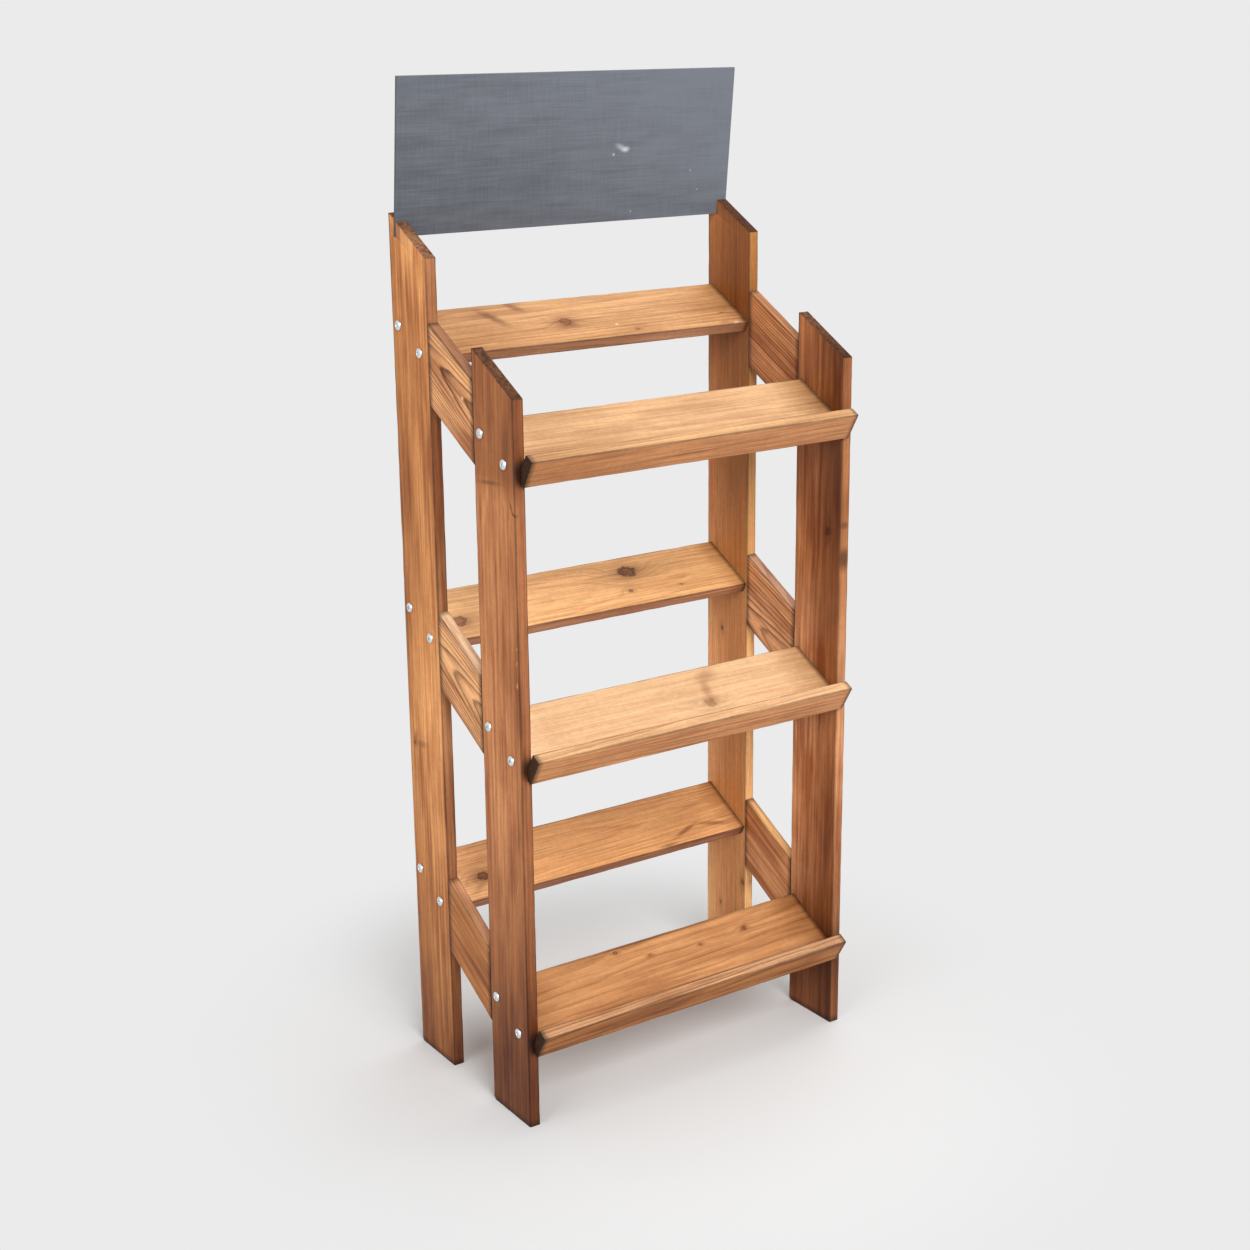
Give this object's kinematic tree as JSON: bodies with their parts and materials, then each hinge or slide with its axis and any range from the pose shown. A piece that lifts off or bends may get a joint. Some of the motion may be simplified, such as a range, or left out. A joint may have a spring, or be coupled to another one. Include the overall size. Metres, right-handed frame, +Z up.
{
  "type": "display stand",
  "caption": "Free-standing wooden display stand with sloping slatted shelves, front lips and a lift-out chalkboard slotted into the tops of its rear uprights.",
  "frame": {"origin": "on the floor, under the middle of the stand's bounding box", "axes": "+Z up, the front with the shelves' lips faces -Y, +X is the right-hand side for someone facing the stand"},
  "size_m": [0.4056, 0.2366, 1.0098],
  "materials": {
    "stained_pine": "planed softwood, warm brown stain, satin",
    "beech": "pressed, bare",
    "bright_zinc": "bright zinc plate",
    "chalk_paint": "4 mm hardboard with matt grey chalkboard paint"
  },
  "bodies": {
    "stand": {"left_front_upright": "stained_pine", "left_lower_rail": "stained_pine", "left_lower_rail_front_biscuit": "beech", "left_lower_rail_rear_biscuit": "beech", "left_middle_rail": "stained_pine", "left_middle_rail_front_biscuit": "beech", "left_middle_rail_rear_biscuit": "beech", "left_rear_upright": "stained_pine", "left_upper_rail": "stained_pine", "left_upper_rail_front_biscuit": "beech", "left_upper_rail_rear_biscuit": "beech", "lower_front_slat": "stained_pine", "lower_front_slat_left_front_screw": "bright_zinc", "lower_front_slat_left_rear_screw": "bright_zinc", "lower_front_slat_right_front_screw": "bright_zinc", "lower_front_slat_right_rear_screw": "bright_zinc", "lower_lip": "stained_pine", "lower_rear_slat": "stained_pine", "lower_rear_slat_left_front_screw": "bright_zinc", "lower_rear_slat_left_rear_screw": "bright_zinc", "lower_rear_slat_right_front_screw": "bright_zinc", "lower_rear_slat_right_rear_screw": "bright_zinc", "middle_front_slat": "stained_pine", "middle_front_slat_left_front_screw": "bright_zinc", "middle_front_slat_left_rear_screw": "bright_zinc", "middle_front_slat_right_front_screw": "bright_zinc", "middle_front_slat_right_rear_screw": "bright_zinc", "middle_lip": "stained_pine", "middle_rear_slat": "stained_pine", "middle_rear_slat_left_front_screw": "bright_zinc", "middle_rear_slat_left_rear_screw": "bright_zinc", "middle_rear_slat_right_front_screw": "bright_zinc", "middle_rear_slat_right_rear_screw": "bright_zinc", "right_front_upright": "stained_pine", "right_lower_rail": "stained_pine", "right_lower_rail_front_biscuit": "beech", "right_lower_rail_rear_biscuit": "beech", "right_middle_rail": "stained_pine", "right_middle_rail_front_biscuit": "beech", "right_middle_rail_rear_biscuit": "beech", "right_rear_upright": "stained_pine", "right_upper_rail": "stained_pine", "right_upper_rail_front_biscuit": "beech", "right_upper_rail_rear_biscuit": "beech", "upper_front_slat": "stained_pine", "upper_front_slat_left_front_screw": "bright_zinc", "upper_front_slat_left_rear_screw": "bright_zinc", "upper_front_slat_right_front_screw": "bright_zinc", "upper_front_slat_right_rear_screw": "bright_zinc", "upper_lip": "stained_pine", "upper_rear_slat": "stained_pine", "upper_rear_slat_left_front_screw": "bright_zinc", "upper_rear_slat_left_rear_screw": "bright_zinc", "upper_rear_slat_right_front_screw": "bright_zinc", "upper_rear_slat_right_rear_screw": "bright_zinc"},
    "board": {"chalkboard": "chalk_paint"}
  },
  "joints": [
    {"name": "chalkboard_lift", "type": "slide", "parent": "stand", "child": "board", "axis": [0, 0, 1], "range_m": [0, 0.03]}
  ]
}
